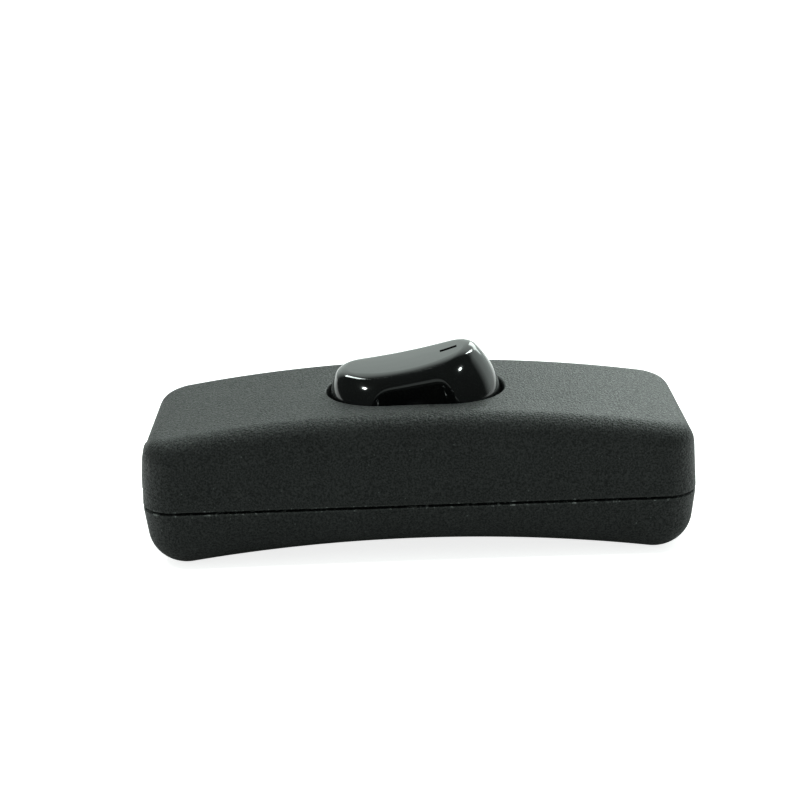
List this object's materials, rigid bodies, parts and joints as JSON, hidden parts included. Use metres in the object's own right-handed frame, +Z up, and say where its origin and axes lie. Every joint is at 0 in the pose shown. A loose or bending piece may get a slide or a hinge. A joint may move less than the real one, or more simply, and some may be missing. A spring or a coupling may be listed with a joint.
{
  "type": "inline cord switch",
  "caption": "Arched inline switch for a lamp cord: a rocker on top of two screwed half shells, with terminals, a seesaw contact and cord clamps inside.",
  "frame": {"origin": "on the table under the middle of the switch, centre of the bounding box's bottom", "axes": "+X along the cord, towards the rocker end that stands up when the switch is off; +Y across the switch; +Z up through the rocker"},
  "size_m": [0.0634, 0.0244, 0.0224],
  "materials": {
    "housing": "black moulded plastic with a fine spark-eroded texture",
    "rocker": "black moulded plastic with a high gloss",
    "plunger": "natural white acetal",
    "spring": "drawn spring steel wire",
    "brass": "stamped and machined brass",
    "contact": "silver alloy contact rivet",
    "screw": "zinc-plated steel",
    "clamp": "black moulded plastic"
  },
  "bodies": {
    "housing": {"clamp_screw_front_left": "screw", "clamp_screw_front_right": "screw", "clamp_screw_rear_left": "screw", "clamp_screw_rear_right": "screw", "common_terminal": "brass", "cord_clamp_left": "clamp", "cord_clamp_right": "clamp", "fixed_contact": "contact", "housing_screw_left": "screw", "housing_screw_right": "screw", "live_screw_left": "screw", "live_screw_right": "screw", "lower_shell": "housing", "neutral_link": "brass", "neutral_screw_left": "screw", "neutral_screw_right": "screw", "switched_terminal": "brass", "upper_shell": "housing"},
    "rocker": {"rocker": "rocker", "plunger_spring": "spring"},
    "plunger": {"plunger": "plunger"},
    "seesaw": {"contact_seesaw": "brass", "moving_contact": "contact"}
  },
  "joints": [
    {"name": "rocker_tilt", "type": "hinge", "parent": "housing", "child": "rocker", "pos_m": [0, 0, 0.01485], "axis": [0, 1, 0], "range_deg": [0, 20]},
    {"name": "seesaw_tilt", "type": "hinge", "parent": "housing", "child": "seesaw", "pos_m": [0, 0, 0.0064], "axis": [0, -1, 0], "range_deg": [0, 16]},
    {"name": "plunger_slide", "type": "slide", "parent": "rocker", "child": "plunger", "axis": [-0.1736, 0, 0.9848], "range_m": [0, 0.0004], "stiffness_N_per_m": 300, "springref_m": -0.004, "deforming": ["plunger_spring"]}
  ],
  "couplings": [
    {"joint": "seesaw_tilt", "follows": "rocker_tilt", "ratio": 0.8}
  ]
}
